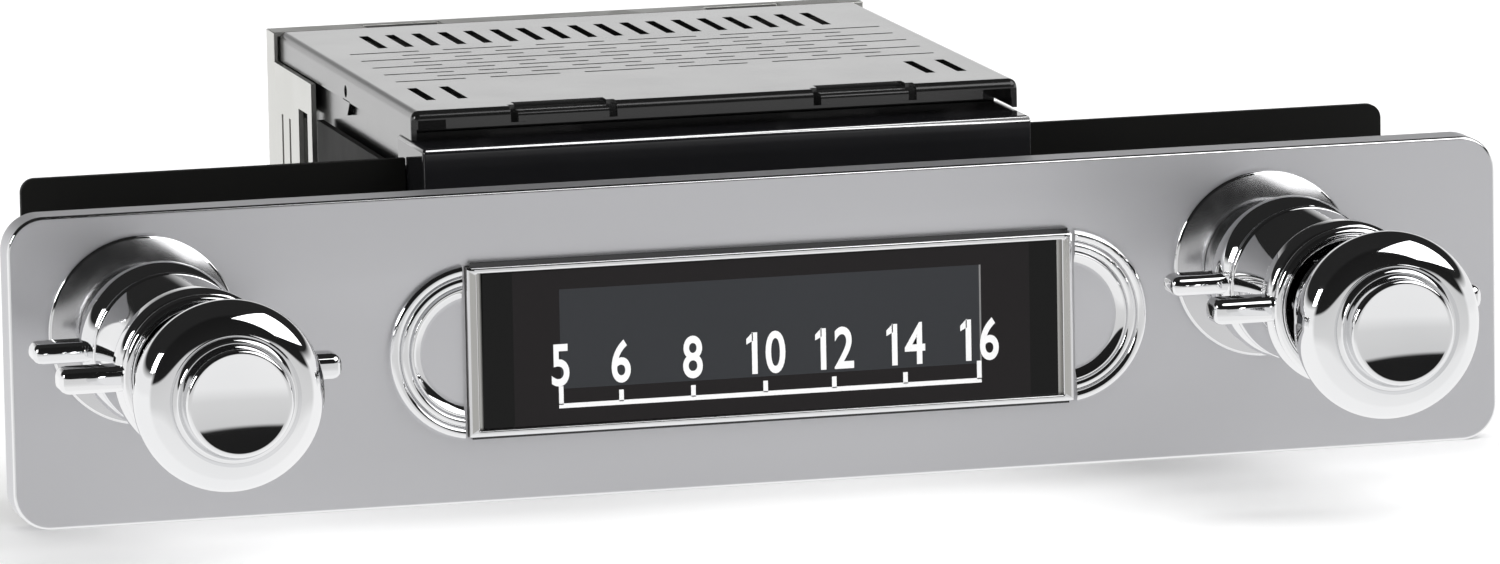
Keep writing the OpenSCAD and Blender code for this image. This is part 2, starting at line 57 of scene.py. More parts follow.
# ---------- Camera ----------
# A long lens stands a little to the left of the radio and above it, and leans by
# a degree.  Distances are in metres from the centre of the faceplate.
mm = 0.001
face_lo, face_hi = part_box("faceplate")
azimuth, elevation, roll = math.radians(-14.47), math.radians(9.13), math.radians(-1.045)
camera_distance = 1.948
aim = Vector((-3.3 * mm, face_lo.y, 9.1 * mm))
away = Vector((math.sin(azimuth) * math.cos(elevation),
               -math.cos(azimuth) * math.cos(elevation), math.sin(elevation)))
camera = bpy.data.objects.new("camera", bpy.data.cameras.new("camera"))
bpy.context.scene.collection.objects.link(camera)
camera.data.sensor_width = 36
camera.data.lens = 272.7
camera.data.shift_x, camera.data.shift_y = 0.0026, -0.0016
camera.data.clip_end = 100
camera.location = aim + away * camera_distance
camera.rotation_mode = "QUATERNION"
camera.rotation_quaternion = (away.to_track_quat("Z", "Y")
                              @ Matrix.Rotation(roll, 4, "Z").to_quaternion())
bpy.context.scene.camera = camera


# ---------- Studio ----------
# A pale floor under a white tent.  The chrome mirrors a white table, a pale wall, a
# black ceiling and the soft boxes; the camera itself sees only white.
class Wire:
    """One output in a node tree.  Arithmetic on it adds Math nodes; add() makes any other node."""

    def __init__(self, tree, socket=None):
        self.tree, self.socket = tree, socket

    def add(self, kind, settings=None, inputs=None, output=0):
        node = self.tree.nodes.new("ShaderNode" + kind)
        for name, value in (settings or {}).items():
            if name == "stops":
                ramp = node.color_ramp.elements
                while len(ramp) < len(value):
                    ramp.new(0.5)
                for element, (place, shade) in zip(ramp, value):
                    element.position = place
                    element.color = (shade, shade, shade, 1) if isinstance(shade, float) else (*shade, 1)
            else:
                setattr(node, name, value)
        for name, value in (inputs or {}).items():
            if isinstance(value, Wire):
                self.tree.links.new(value.socket, node.inputs[name])
            else:
                node.inputs[name].default_value = value
        return Wire(self.tree, node.outputs[output] if node.outputs else None)

    def math(self, operation, *values):
        return self.add("Math", {"operation": operation}, dict(enumerate(values)))

    def __add__(self, other):
        return self.math("ADD", self, other)

    def __sub__(self, other):
        return self.math("SUBTRACT", self, other)

    def __rsub__(self, other):
        return self.math("SUBTRACT", other, self)

    def __mul__(self, other):
        return self.math("MULTIPLY", self, other)

    def __gt__(self, other):
        return self.math("GREATER_THAN", self, other)

    def __lt__(self, other):
        return self.math("LESS_THAN", self, other)

    __radd__, __rmul__ = __add__, __mul__

    def ramp(self, low, high, start=0.0, end=1.0):
        """This value mapped from low..high to start..end, clamped."""
        return self.add("MapRange", {"clamp": True}, {0: self, 1: low, 2: high, 3: start, 4: end})

    def mix(self, factor, other):
        """This colour, turning into another as factor goes from 0 to 1."""
        return self.add("Mix", {"data_type": "RGBA"}, {0: factor, 6: self, 7: other}, output=2)

    def tint(self, factor, one, other):
        """A colour between two plain ones."""
        return self.add("Mix", {"data_type": "RGBA"}, {0: factor, 6: (*one, 1), 7: (*other, 1)}, output=2)


def finish(name, metallic=0.0, roughness=0.5, base=(0.8, 0.8, 0.8), **sockets):
    """A new material, its Principled shader and a Wire into its tree; sockets are set as plain values."""
    material = bpy.data.materials.new(name)
    material.use_nodes = True
    shader = material.node_tree.nodes["Principled BSDF"]
    values = {"Metallic": metallic, "Roughness": roughness, "Base Color": (*base, 1)}
    values.update({key.replace("_", " "): value for key, value in sockets.items()})
    for key, value in values.items():
        shader.inputs[key].default_value = value
    return material, shader, Wire(material.node_tree)


def feed(shader, **wires):
    for key, wire in wires.items():
        wire.tree.links.new(wire.socket, shader.inputs[key.replace("_", " ")])


def noise(wire, scale, detail=2.0, roughness=0.5, stretch=(1, 1, 1)):
    """Noise on object coordinates in metres, drawn out along an axis by stretch."""
    place = wire.add("TexCoord", output=3)
    place = wire.add("Mapping", None, {0: place, 3: stretch})
    return wire.add("TexNoise", None, {"Vector": place, "Scale": scale, "Detail": detail,
                                       "Roughness": roughness})


def piece(name, bm, materials):
    """Turns a bmesh into an object with its place in its mesh."""
    bmesh.ops.recalc_face_normals(bm, faces=bm.faces[:])
    mesh = bpy.data.meshes.new(name)
    bm.to_mesh(mesh)
    bm.free()
    mesh.shade_smooth()
    mesh.set_sharp_from_angle(angle=math.radians(35))
    for material in materials:
        mesh.materials.append(material)
    made = bpy.data.objects.new(name, mesh)
    bpy.context.scene.collection.objects.link(made)
    return made


floor_paint, shader, wire = finish("floor_paint", roughness=0.6, base=(0.9, 0.9, 0.9))
feed(shader, Base_Color=wire.tint(noise(wire, 3.0), (0.9, 0.9, 0.9), (0.94, 0.94, 0.94)))
bm = bmesh.new()
bmesh.ops.create_grid(bm, x_segments=4, y_segments=4, size=30)
bmesh.ops.translate(bm, verts=bm.verts, vec=(0, 0, cad_lo.z))
floor = piece("floor", bm, [floor_paint])
floor.visible_glossy = False

world = bpy.data.worlds.new("studio")
bpy.context.scene.world = world
world.use_nodes = True
world.node_tree.nodes.clear()
wire = Wire(world.node_tree)
direction = wire.add("TexCoord", output=0)
upward = wire.add("SeparateXYZ", None, {0: direction}, 2)
forward = wire.add("SeparateXYZ", None, {0: direction}, 1)
# in front: a white table, a pale wall up to 6 degrees and black above; behind: low white paper
height = upward.ramp(-1.0, 1.0)
front = wire.add("ValToRGB", {"stops": [
    (0.0, 0.95), (0.33, 0.92), (0.40, 0.74), (0.54, 0.68), (0.56, 0.015), (1.0, 0.01)]}, {"Fac": height})
behind = wire.add("ValToRGB", {"stops": [
    (0.0, 1.0), (0.46, 1.0), (0.5, 0.93), (0.59, 0.93), (0.65, 0.02)]}, {"Fac": height})
mirrored = front.mix(forward.ramp(-0.42, -0.25), behind)
plain = wire.tint(upward.ramp(0.0, 0.6), (0.95, 0.95, 0.95), (0.8, 0.8, 0.8))
is_camera = wire.add("LightPath", output=0)
is_glossy = wire.add("LightPath", output=3)
light = plain.mix(is_glossy, mirrored).mix(is_camera, (1, 1, 1, 1))
shown = wire.add("Background", None, {"Color": light, "Strength": 1.0})
wire.add("OutputWorld", None, {"Surface": shown})
bpy.context.scene.view_settings.view_transform = "Standard"


def soft_box(name, place, width, height, power, mirrored=True, lit=True):
    lamp = bpy.data.lights.new(name, "AREA")
    lamp.shape, lamp.size, lamp.size_y, lamp.energy = "RECTANGLE", width, height, power
    made = bpy.data.objects.new(name, lamp)
    bpy.context.scene.collection.objects.link(made)
    made.location = place
    made.rotation_euler = Vector(place).to_track_quat("Z", "Y").to_euler()
    made.visible_camera, made.visible_glossy, made.visible_diffuse = False, mirrored, lit
    return made


soft_box("box_right", (1.0, -0.6, 1.15), 1.6, 1.2, 14, lit=False)
soft_box("fill_right", (0.95, -0.55, 1.25), 1.3, 1.0, 16, mirrored=False)
soft_box("box_left", (-1.6, -0.45, 0.7), 0.45, 0.5, 7)
soft_box("box_top", (0, 0.5, 1.6), 1.4, 0.5, 8, mirrored=False)
# this one lights only the enamelled pieces round the dial nose
edge_light = soft_box("edge_light", (0.95, -0.55, 1.25), 1.7, 1.4, 150, lit=False)
enamelled = bpy.data.collections.new("enamelled")
bpy.context.scene.collection.children.link(enamelled)
edge_light.light_linking.receiver_collection = enamelled


# ---------- Chassis tray and cover ----------
# A folded steel tray in black enamel under a bent steel cover with three fields
# of vent slots.  The cover hooks in at the front and rests on lips at the back.
def bump(wire, height, strength, distance=0.0001):
    return wire.add("Bump", None, {"Height": height, "Strength": strength, "Distance": distance})


def even(made):
    """Keeps big flat faces flat next to their rounded edges."""
    made.modifiers.new("even", "WEIGHTED_NORMAL").keep_sharp = True
    return made


def edged(node, name, material, width):
    """A copy of a CAD node with its vertices joined and its edges rounded; it stands for the node."""
    bm = bmesh.new()
    bm.from_mesh(bpy.data.objects[node].data)
    bmesh.ops.remove_doubles(bm, verts=bm.verts, dist=1e-6)
    bmesh.ops.dissolve_limit(bm, angle_limit=math.radians(1), verts=bm.verts, edges=bm.edges)
    made = piece(name, bm, [material])
    bevel = made.modifiers.new("bevel", "BEVEL")
    bevel.width, bevel.segments = width, 2
    bevel.limit_method, bevel.angle_limit = "ANGLE", math.radians(50)
    even(made)
    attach(made, "chassis")
    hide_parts(node)
    return made


def block(bm, low, high):
    """Adds a box to a bmesh, in millimetres."""
    box = bmesh.ops.create_cube(bm, size=mm)["verts"]
    low, high = Vector(low), Vector(high)
    bmesh.ops.scale(bm, verts=box, vec=high - low)
    bmesh.ops.translate(bm, verts=box, vec=(low + high) / 2 * mm)
    return box


def soften(bm, edges, radius, segments=3):
    bmesh.ops.bevel(bm, geom=edges, offset=radius, segments=segments, profile=0.5,
                    affect="EDGES", material=-1)


def cut(made, cutters):
    """Cuts the cutters out of a piece for good."""
    for cutter in cutters:
        modifier = made.modifiers.new("cut", "BOOLEAN")
        modifier.object, modifier.operation, modifier.solver = cutter, "DIFFERENCE", "EXACT"
    bpy.context.view_layer.update()
    mesh = bpy.data.meshes.new_from_object(made.evaluated_get(bpy.context.evaluated_depsgraph_get()))
    made.modifiers.clear()
    made.data = mesh
    mesh.name = made.name
    for cutter in cutters:
        bpy.data.objects.remove(cutter)


def enamel(name, gloss, coat, base=(0.012, 0.012, 0.012), specular=0.5):
    material, shader, wire = finish(name, 0.0, gloss, base, Coat_Weight=coat, Coat_Roughness=gloss * 0.8,
                                    Specular_IOR_Level=specular)
    peel = noise(wire, 900.0, 2.0)
    feed(shader, Normal=bump(wire, peel, 0.05, 0.00003),
         Base_Color=wire.tint(noise(wire, 35.0), base, tuple(1.25 * part for part in base)),
         Roughness=noise(wire, 60.0, 3.0).ramp(0.3, 0.7, gloss * 0.9, gloss * 1.15))
    return material


cover_enamel = enamel("cover_enamel", 0.2, 1.0, (0.006, 0.006, 0.006), 0.3)
edged("chassis_tray", "tray", cover_enamel, 0.25 * mm)
low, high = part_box("top_cover")
sheet, bend, skirt, front_skirt, hem = 0.8, 1.5, 5.1, 3.2, 1.6
left, right, front_y, back_y, top_z = (value / mm for value in (low.x, high.x, low.y, high.y, high.z))
bm = bmesh.new()
block(bm, (left, front_y, top_z - skirt), (right, back_y, top_z))
bmesh.ops.delete(bm, geom=[f for f in bm.faces if f.normal.z < -0.5 or f.normal.y > 0.5], context="FACES")
soften(bm, [e for e in bm.edges if len(e.link_faces) == 2], bend * mm, 5)
bmesh.ops.recalc_face_normals(bm, faces=bm.faces[:])
if max(bm.faces, key=lambda f: f.calc_area()).normal.z < 0:
    bmesh.ops.reverse_faces(bm, faces=bm.faces[:])
bmesh.ops.solidify(bm, geom=bm.faces[:], thickness=sheet * mm)
cover = piece("cover", bm, [cover_enamel])

# three fields of vent slots: a back row, nine staggered rows, and a pair in each front corner
vents, steps, notches = bmesh.new(), bmesh.new(), bmesh.new()
vent_low, vent_high = top_z - 2, top_z + 2
back_pitch, row_pitch, row_slot_pitch, row_slot_length = 4.85, 4.6, 17.1, 12.6
for i in range(18):
    block(vents, (-42.1 + i * back_pitch, 75, vent_low), (-40.4 + i * back_pitch, 91.5, vent_high))
for row in range(9):
    start, row_y = -48.7 + row % 2 * row_slot_pitch / 2, 68.6 - row * row_pitch
    for i in range(6 - row % 2):
        block(vents, (start + i * row_slot_pitch, row_y, vent_low),
              (start + i * row_slot_pitch + row_slot_length, row_y + 0.9, vent_high))
for x in (-47.9, -42.2, 42.2, 47.9):
    block(vents, (x - 0.85, 8.2, vent_low), (x + 0.85, 23.6, vent_high))
for x in (left, right):
    bmesh.ops.create_cone(vents, cap_ends=True, segments=32, radius1=1.1 * mm, radius2=1.1 * mm,
                          depth=4 * mm, matrix=Matrix.Translation((x * mm, 47.5 * mm, (top_z - 3.4) * mm))
                          @ Matrix.Rotation(math.radians(90), 4, "Y"))
# the front edge: two pressed hook steps between notches, a short skirt and open corners
hook_steps = ((18.6, 34.6), (-35.6, -19.2))
for near, far in hook_steps:
    block(steps, (near, front_y - 1, top_z - hem), (far, front_y + 5.5, top_z + 1))
    for x in (near, far):
        block(notches, (x - 1.3, front_y - 1.5, top_z - 2.7), (x + 1.3, front_y + 2.8, top_z + 0.5))
block(steps, (left - 1, front_y - 1, top_z - skirt - 1), (right + 1, front_y + 1, top_z - front_skirt))
for x in (left, right - 5):
    block(notches, (x - 1.5, front_y - 1.5, top_z - skirt - 1.5), (x + 6, front_y + 0.85, top_z - hem))
cut(cover, [piece("cutter", shape, []) for shape in (vents, steps, notches)])
bevel = cover.modifiers.new("bevel", "BEVEL")
bevel.width, bevel.segments, bevel.limit_method, bevel.angle_limit = 0.1 * mm, 1, "ANGLE", math.radians(60)
even(cover)
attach(cover, "chassis")
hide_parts("top_cover")
bm = bmesh.new()
for x in (left, right):
    lug = [bm.verts.new((x * mm, y * mm, (top_z - skirt + z) * mm))
           for y, z in ((44.3, 0.2), (46.5, -2.5), (48.5, -2.5), (49.9, 0.2))]
    face = bm.faces.new(lug)
    soften(bm, [e for e in face.edges if e.calc_length() < 2.1 * mm], 0.6 * mm)
    grown = bmesh.ops.extrude_face_region(bm, geom=[f for f in bm.faces if f.calc_center_median().x * x > 0],
                                          use_keep_orig=True)["geom"]
    bmesh.ops.translate(bm, verts=[v for v in grown if isinstance(v, bmesh.types.BMVert)],
                        vec=(-math.copysign(sheet * mm, x), 0, 0))
for near, far in hook_steps:
    block(bm, (near + 0.1, front_y + 0.1, top_z - 3.1), (far - 0.1, front_y + 5.6, top_z - sheet))
    soften(bm, [e for e in bm.edges if all(v.co.y < (front_y + 0.2) * mm and v.co.z > (top_z - 0.9) * mm
                                           for v in e.verts)], 0.9 * mm, 4)
lugs = even(piece("cover_lugs", bm, [cover_enamel]))
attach(lugs, "chassis")


# ---------- Rear case and screws ----------
# Zinc-plated sheet closes the back of the tray; its side plates have a window and
# two slots.  Pan-head screws, the strap stud and its nut have the same plating.
def zinc_plate(name, base):
    material, shader, wire = finish(name, 1.0, 0.38, base)
    spangle = wire.add("TexVoronoi", {"feature": "F1"},
                       {"Scale": 160.0, "Vector": wire.add("TexCoord", output=3)}, "Color")
    shade = spangle.add("RGBToBW", None, {0: spangle})
    tone = tuple(0.88 * part for part in base)
    feed(shader, Base_Color=wire.tint(shade * 0.5 + noise(wire, 45.0) * 0.5, tone, base),
         Roughness=shade.ramp(0.0, 1.0, 0.32, 0.46), Normal=bump(wire, noise(wire, 1500.0), 0.08, 0.00002))
    return material


def dress(material, *nodes):
    """Gives CAD nodes a material."""
    for node in nodes:
        data = bpy.data.objects[node].data
        for index in range(len(data.materials)):
            data.materials[index] = material
        if not data.materials:
            data.materials.append(material)


case_zinc = zinc_plate("case_zinc_plate", (0.78, 0.78, 0.75))
screw_zinc = zinc_plate("screw_zinc_plate", (0.72, 0.71, 0.66))
edged("rear_case", "case_cap", case_zinc, 0.3 * mm)
edged("case_sides", "case_side_plates", case_zinc, 0.1 * mm)
dress(screw_zinc, "arm_screws", "bracket_screws", "case_screws", "board_screws", "lock_washers",
      "support_nut", "support_stud")


# ---------- Electronics ----------
# A glass-fibre main board on brass posts carries a tinned tuner can, an epoxy
# amplifier chip on a finned alloy sink, and four sleeved capacitors.
laminate, shader, wire = finish("laminate", 0.0, 0.4, (0.01, 0.10, 0.035), Coat_Weight=0.4)
tracks = wire.add("TexBrick", None, {"Vector": wire.add("TexCoord", output=3), "Scale": 90.0,
                                     "Mortar Size": 0.05}, 1)
feed(shader, Base_Color=wire.tint(tracks, (0.008, 0.075, 0.025), (0.02, 0.16, 0.055)),
     Normal=bump(wire, tracks, 0.2, 0.00003))
dress(laminate, "main_board", "display_board")

tin, shader, wire = finish("tinned_sheet", 1.0, 0.3, (0.74, 0.74, 0.72))
feed(shader, Roughness=noise(wire, 90.0, 3.0).ramp(0.3, 0.7, 0.24, 0.4),
     Base_Color=wire.tint(noise(wire, 25.0), (0.68, 0.68, 0.66), (0.78, 0.78, 0.76)))
edged("tuner_can", "tuner_can_sheet", tin, 0.3 * mm)

epoxy, shader, wire = finish("chip_resin", 0.0, 0.55, (0.015, 0.015, 0.016))
feed(shader, Base_Color=wire.tint(noise(wire, 700.0), (0.012, 0.012, 0.013), (0.022, 0.022, 0.023)),
     Normal=bump(wire, noise(wire, 2500.0), 0.2, 0.00003))
edged("amplifier_chip", "amplifier_package", epoxy, 0.4 * mm)

alloy, shader, wire = finish("fin_extrusion", 1.0, 0.42, (0.66, 0.66, 0.67))
feed(shader, Roughness=noise(wire, 200.0, 2.0, 0.5, (8, 8, 0.3)).ramp(0.3, 0.7, 0.34, 0.5),
     Base_Color=wire.tint(noise(wire, 30.0), (0.60, 0.60, 0.61), (0.70, 0.70, 0.71)))
edged("heat_sink", "sink_extrusion", alloy, 0.2 * mm)

sleeve_film, shader, wire = finish("capacitor_film", 0.0, 0.3, (0.02, 0.025, 0.06))
place = wire.add("TexCoord", output=3)
height = wire.add("SeparateXYZ", None, {0: place}, 2)
feed(shader, Base_Color=wire.tint(height > 0.0, (0.015, 0.02, 0.05), (0.03, 0.035, 0.075)),
     Roughness=noise(wire, 80.0).ramp(0.3, 0.7, 0.25, 0.36))
dress(sleeve_film, "capacitors")


# ---------- Rear sockets ----------
# A shrouded black socket with tinned blades takes the wiring plug, beside a blade
# fuse, four nickel-rimmed line jacks and the round aerial socket.
def moulded(name, base, gloss=0.45):
    material, shader, wire = finish(name, 0.0, gloss, base)
    feed(shader, Base_Color=wire.tint(noise(wire, 50.0), base, tuple(1.2 * part for part in base)),
         Roughness=noise(wire, 150.0).ramp(0.3, 0.7, gloss - 0.05, gloss + 0.07),
         Normal=bump(wire, noise(wire, 1800.0), 0.1, 0.00003))
    return material


socket_black = moulded("socket_black", (0.02, 0.02, 0.021))
edged("power_socket", "power_socket_shroud", socket_black, 0.25 * mm)
edged("line_jacks", "line_jack_block", socket_black, 0.3 * mm)
edged("fuse", "blade_fuse", moulded("fuse_red_plastic", (0.45, 0.02, 0.015), 0.3), 0.5 * mm)
edged("antenna_socket", "aerial_socket", zinc_plate("socket_nickel_plate", (0.70, 0.68, 0.63)), 0.2 * mm)


# ---------- Mounting plate, brackets, nose ----------
# Steel plate in matt black with two arms screwed to the tray; zinc brackets carry
# the controls.  The gloss black nose and its flange hold the dial ahead of it.
plate_black = enamel("plate_black", 0.6, 0.0, (0.004, 0.004, 0.0035), 0.2)
edged("mounting_plate", "radio_plate", plate_black, 0.15 * mm)
bracket_zinc = zinc_plate("bracket_zinc_plate", (0.70, 0.70, 0.67))
SIDES = ("left", "right")
for side in SIDES:
    edged("bracket_" + side, "control_bracket_" + side, bracket_zinc, 0.15 * mm)
housing_gloss = enamel("gloss_black", 0.09, 0.6, (0.008, 0.008, 0.009))
enamelled.objects.link(edged("front_flange", "nose_flange", housing_gloss, 0.9 * mm))
enamelled.objects.link(edged("nose_housing", "dial_nose", housing_gloss, 0.3 * mm))


# ---------- Faceplate ----------
# A zinc casting plated in satin chrome: a flat face with rounded edges and a rim
# that stands on the dashboard.  The control bushings and the dial nose pass through it.
def slab(low, high, corner=0, segments=0):
    """A closed prism along Y with round corners."""
    bm = bmesh.new()
    bmesh.ops.create_grid(bm, x_segments=1, y_segments=1, size=0.5)
    bmesh.ops.scale(bm, verts=bm.verts, vec=(high.x - low.x, high.z - low.z, 1))
    bmesh.ops.rotate(bm, verts=bm.verts, matrix=Matrix.Rotation(math.radians(90), 3, "X"))
    bmesh.ops.translate(bm, verts=bm.verts,
                        vec=((low.x + high.x) / 2, low.y, (low.z + high.z) / 2))
    if corner:
        bmesh.ops.bevel(bm, geom=bm.verts[:], offset=corner, segments=segments, profile=0.5,
                        affect="VERTICES", material=-1)
    back = bmesh.ops.extrude_face_region(bm, geom=bm.faces[:], use_keep_orig=True)["geom"]
    bmesh.ops.translate(bm, verts=[v for v in back if isinstance(v, bmesh.types.BMVert)],
                        vec=(0, high.y - low.y, 0))
    bmesh.ops.recalc_face_normals(bm, faces=bm.faces[:])
    return bm


def flat_edges(bm, y):
    """The edges that lie in the plane at y."""
    return [e for e in bm.edges if all(abs(v.co.y - y) < 1e-6 for v in e.verts)]


def hollow(bm, y, wall, depth):
    """Sinks the face at y by depth, leaving a wall round it."""
    face = max((f for f in bm.faces if all(abs(v.co.y - y) < 1e-6 for v in f.verts)),
               key=lambda f: f.calc_area())
    bmesh.ops.inset_region(bm, faces=[face], thickness=wall)
    sunk = bmesh.ops.extrude_discrete_faces(bm, faces=[face])["faces"]
    bmesh.ops.translate(bm, verts=sunk[0].verts[:], vec=(0, depth, 0))


def drill(x, z, radius, y0, y1):
    """A cutter for a round hole along Y."""
    bm = bmesh.new()
    bmesh.ops.create_cone(bm, cap_ends=True, segments=64, radius1=radius, radius2=radius, depth=y1 - y0)
    bmesh.ops.rotate(bm, verts=bm.verts, matrix=Matrix.Rotation(math.radians(90), 3, "X"))
    bmesh.ops.translate(bm, verts=bm.verts, vec=(x, (y0 + y1) / 2, z))
    return piece("cutter", bm, [])


satin_chrome, shader, wire = finish("satin_chrome", 0.85, 0.4, (0.61, 0.61, 0.63))
streaks = noise(wire, 14.0, 2.0, 0.5, (0.35, 1.0, 3.5))
cloud = noise(wire, 9.0, 2.0, 0.5, (0.5, 1.0, 2.0))
grain = noise(wire, 4000.0, 1.0)
feed(shader, Roughness=streaks.ramp(0.3, 0.7, 0.37, 0.42),
     Base_Color=wire.tint(cloud.ramp(0.25, 0.75), (0.55, 0.55, 0.57), (0.67, 0.67, 0.69)),
     Normal=bump(wire, grain, 0.03, 0.00001))
bright_chrome, shader, wire = finish("bright_chrome", 1.0, 0.04, (0.86, 0.865, 0.875))
wipe = noise(wire, 120.0, 3.0)
feed(shader, Roughness=wipe.ramp(0.35, 0.75, 0.025, 0.065),
     Base_Color=wire.tint(noise(wire, 40.0).ramp(0.3, 0.7), (0.84, 0.845, 0.855), (0.89, 0.89, 0.895)))

nose_lo, nose_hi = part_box("nose_housing")
face_edge, face_corner, face_wall = 0.6 * mm, 6.3 * mm, 1.6 * mm
hole_gap, nose_gap = 0.3 * mm, 0.15 * mm
bm = slab(face_lo, face_hi, face_corner, 20)
hollow(bm, face_hi.y, face_wall, face_wall - (face_hi.y - face_lo.y))
soften(bm, flat_edges(bm, face_lo.y), face_edge, 5)
for f in bm.faces:
    f.material_index = int(abs(f.normal.y) < 0.98 and f.calc_center_median().y < face_lo.y + face_edge)
faceplate = piece("faceplate_casting", bm, [satin_chrome, bright_chrome])
holes = []
for side in SIDES:
    low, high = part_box("bushing_" + side)
    centre = (low + high) / 2
    holes.append(drill(centre.x, centre.z, (high.x - low.x) / 2 + hole_gap,
                       face_lo.y - mm, face_lo.y + 3 * mm))
holes.append(piece("cutter", slab(Vector((nose_lo.x - nose_gap, face_lo.y - mm, nose_lo.z - nose_gap)),
                                  Vector((nose_hi.x + nose_gap, face_hi.y, nose_hi.z + nose_gap))), []))
cut(faceplate, holes)
even(faceplate)
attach(faceplate, "chassis")
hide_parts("faceplate")


# ---------- Dial ends ----------
# Two half-round chrome castings beside the dial: a pair of beads runs round a
# shallow dish.  They are pinned to the faceplate from behind.
def arc(r, s, radius, start, end, count=12):
    """Points of an arc in an outline's plane, in millimetres and degrees."""
    return [(r + radius * math.cos(math.radians(start + (end - start) * i / count)),
             s + radius * math.sin(math.radians(start + (end - start) * i / count)))
            for i in range(count + 1)]


def turned(outline, steps=160, closed=True):
    """Spins an outline of (radius, distance before the faceplate) about its axis."""
    bm = bmesh.new()
    verts = [bm.verts.new((r * mm, 0, s * mm)) for r, s in outline]
    pairs = zip(verts, verts[1:] + verts[:1]) if closed else zip(verts, verts[1:])
    edges = [bm.edges.new(pair) for pair in pairs]
    bmesh.ops.spin(bm, geom=verts + edges, cent=(0, 0, 0), axis=(0, 0, 1), dvec=(0, 0, 0),
                   angle=math.tau, steps=steps, use_merge=True)
    bmesh.ops.remove_doubles(bm, verts=bm.verts, dist=1e-7)
    bmesh.ops.recalc_face_normals(bm, faces=bm.faces[:])
    return bm


def stand(bm, x, z):
    """Turns a spun shape to face the driver and sets it on the faceplate at x, z."""
    bmesh.ops.rotate(bm, verts=bm.verts, matrix=Matrix.Rotation(math.radians(90), 3, "X"))
    bmesh.ops.translate(bm, verts=bm.verts, vec=(x, face_lo.y, z))


frame_lo, frame_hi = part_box("dial_frame")
dial_x, dial_z = (frame_lo.x + frame_hi.x) / 2, (frame_lo.z + frame_hi.z) / 2
end_outline = ([(0, 0), (15.2, 0), (15.2, 0.5)] + arc(14.2, 0.5, 1.0, 0, 176) + arc(12.35, 0.5, 0.85, 4, 176)
               + [(11.38, 0.9)] + arc(11.1, 1.0, 0.25, 20, 120, 4) + arc(9, 3.4, 3.1, -48, -90, 14)
               + [(0, 0.3)])
end_offset, end_cut, dish_radius = 52.1 * mm, 54.3 * mm, 9.6 * mm
for side, turn in (("left", -1), ("right", 1)):
    bm = turned(end_outline, 200, closed=False)
    end_x, plane = dial_x + turn * end_offset, dial_x + turn * end_cut
    stand(bm, end_x, dial_z)
    bmesh.ops.bisect_plane(bm, geom=bm.verts[:] + bm.edges[:] + bm.faces[:], dist=1e-7,
                           plane_co=(plane, 0, 0), plane_no=(-turn, 0, 0), clear_outer=True)
    rim = [e for e in bm.edges if e.is_boundary and abs(e.verts[0].co.x - plane) < 1e-6]
    bmesh.ops.holes_fill(bm, edges=rim)
    for f in bm.faces:
        centre = f.calc_center_median() - Vector((end_x, 0, dial_z))
        f.material_index = int(math.hypot(centre.x, centre.z) < dish_radius and f.normal.y < -0.9)
    end = piece("dial_end_casting_" + side, bm, [bright_chrome, satin_chrome])
    even(end)
    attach(end, "chassis")
    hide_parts("dial_end_" + side)


# ---------- Dial frame, lens and scale ----------
# A satin nickel frame holds a gloss black acrylic lens.  A smoked window in it
# shows the display, and the tuning scale is printed on its face in white.
satin_nickel, shader, wire = finish("satin_nickel", 1.0, 0.32, (0.54, 0.535, 0.515))
feed(shader, Roughness=noise(wire, 400.0, 2.0, 0.5, (1, 1, 0.1)).ramp(0.3, 0.7, 0.27, 0.36),
     Base_Color=wire.tint(noise(wire, 30.0), (0.52, 0.515, 0.495), (0.60, 0.595, 0.575)))
side_bar, cross_bar, lens_seat = 2.4 * mm, 1.1 * mm, 1.2 * mm
half_height = (frame_hi.z - frame_lo.z) / 2
bm = slab(frame_lo, frame_hi)
hollow(bm, frame_lo.y, side_bar, lens_seat)
opening = [v for v in bm.verts if min(abs(v.co.x - frame_lo.x), abs(v.co.x - frame_hi.x)) > mm]
for v in opening:
    v.co.z = dial_z + math.copysign(half_height - cross_bar, v.co.z - dial_z)
soften(bm, flat_edges(bm, frame_lo.y), 0.35 * mm, 4)
for f in bm.faces:
    centre = f.calc_center_median()
    cross = abs(centre.z - dial_z) > half_height - cross_bar
    f.material_index = int(centre.y < frame_lo.y + mm and (cross or 0.05 < abs(f.normal.y) < 0.97))
dial_frame = even(piece("dial_surround", bm, [satin_nickel, bright_chrome]))
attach(dial_frame, "chassis")
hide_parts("dial_frame")

# Gloss black bars along the top and bottom of the frame stand in for the shadow gap there: painted shade,
# given as dark pieces where there is only shade.
gap_shade_top, gap_shade_low, gap_shade_half = frame_hi.z / mm, frame_lo.z / mm, 53
gap_shade_x, gap_shade_y = dial_x / mm, face_lo.y / mm
bm = bmesh.new()
for low_z, high_z, proud, radius in ((gap_shade_top, gap_shade_top + 0.9, 1.3, 0.15),
                                     (gap_shade_low - 0.5, gap_shade_low, 0.9, 0.1)):
    block(bm, (gap_shade_x - gap_shade_half, gap_shade_y - proud, low_z), (gap_shade_x + gap_shade_half, gap_shade_y + 0.1, high_z))
    outer = high_z if high_z > gap_shade_top else low_z
    soften(bm, [e for e in bm.edges if all(abs(v.co.z - outer * mm) < 1e-6 and v.co.y < face_lo.y
                                           for v in e.verts)], radius * mm, 5)
gap_shade_bars = even(piece("dial_gap_shade_bars", bm, [housing_gloss]))
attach(gap_shade_bars, "chassis")

